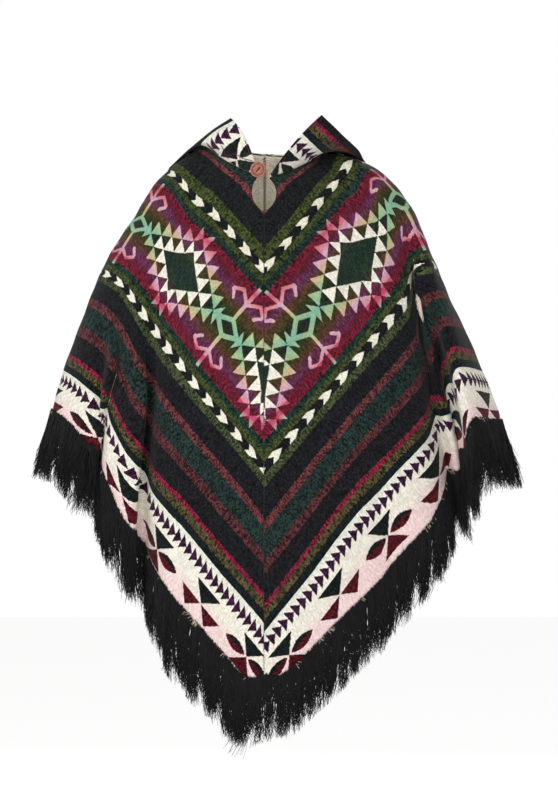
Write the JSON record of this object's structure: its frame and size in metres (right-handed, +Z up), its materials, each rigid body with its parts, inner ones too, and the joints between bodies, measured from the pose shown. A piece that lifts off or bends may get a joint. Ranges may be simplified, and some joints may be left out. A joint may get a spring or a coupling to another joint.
{
  "type": "poncho",
  "caption": "Worn andean poncho of two mitred striped panels with a turned collar, button, cord loop and fringed hem; hollow, open at the neck and hem.",
  "frame": {"origin": "middle of the neck opening, where the wearer's neck and shoulders hold the poncho up", "axes": "+Z up along the wearer's neck, -Y out of the front, -X towards the wearer's right"},
  "size_m": [0.7918, 0.3459, 1.0048],
  "materials": {
    "cloth_right": "woven, striped, matte",
    "cloth_left": "woven, striped, matte",
    "collar_cloth": "woven, striped, matte",
    "yarn_right": "loose wool yarn",
    "yarn_left": "loose wool yarn",
    "shell": "polished coconut shell",
    "cord": "twisted cord"
  },
  "bodies": {
    "root": {"panel_right": "cloth_right", "panel_left": "cloth_left", "collar": "collar_cloth", "fringe_right": "yarn_right", "fringe_left": "yarn_left", "button": "shell", "button_loop": "cord"}
  },
  "joints": []
}
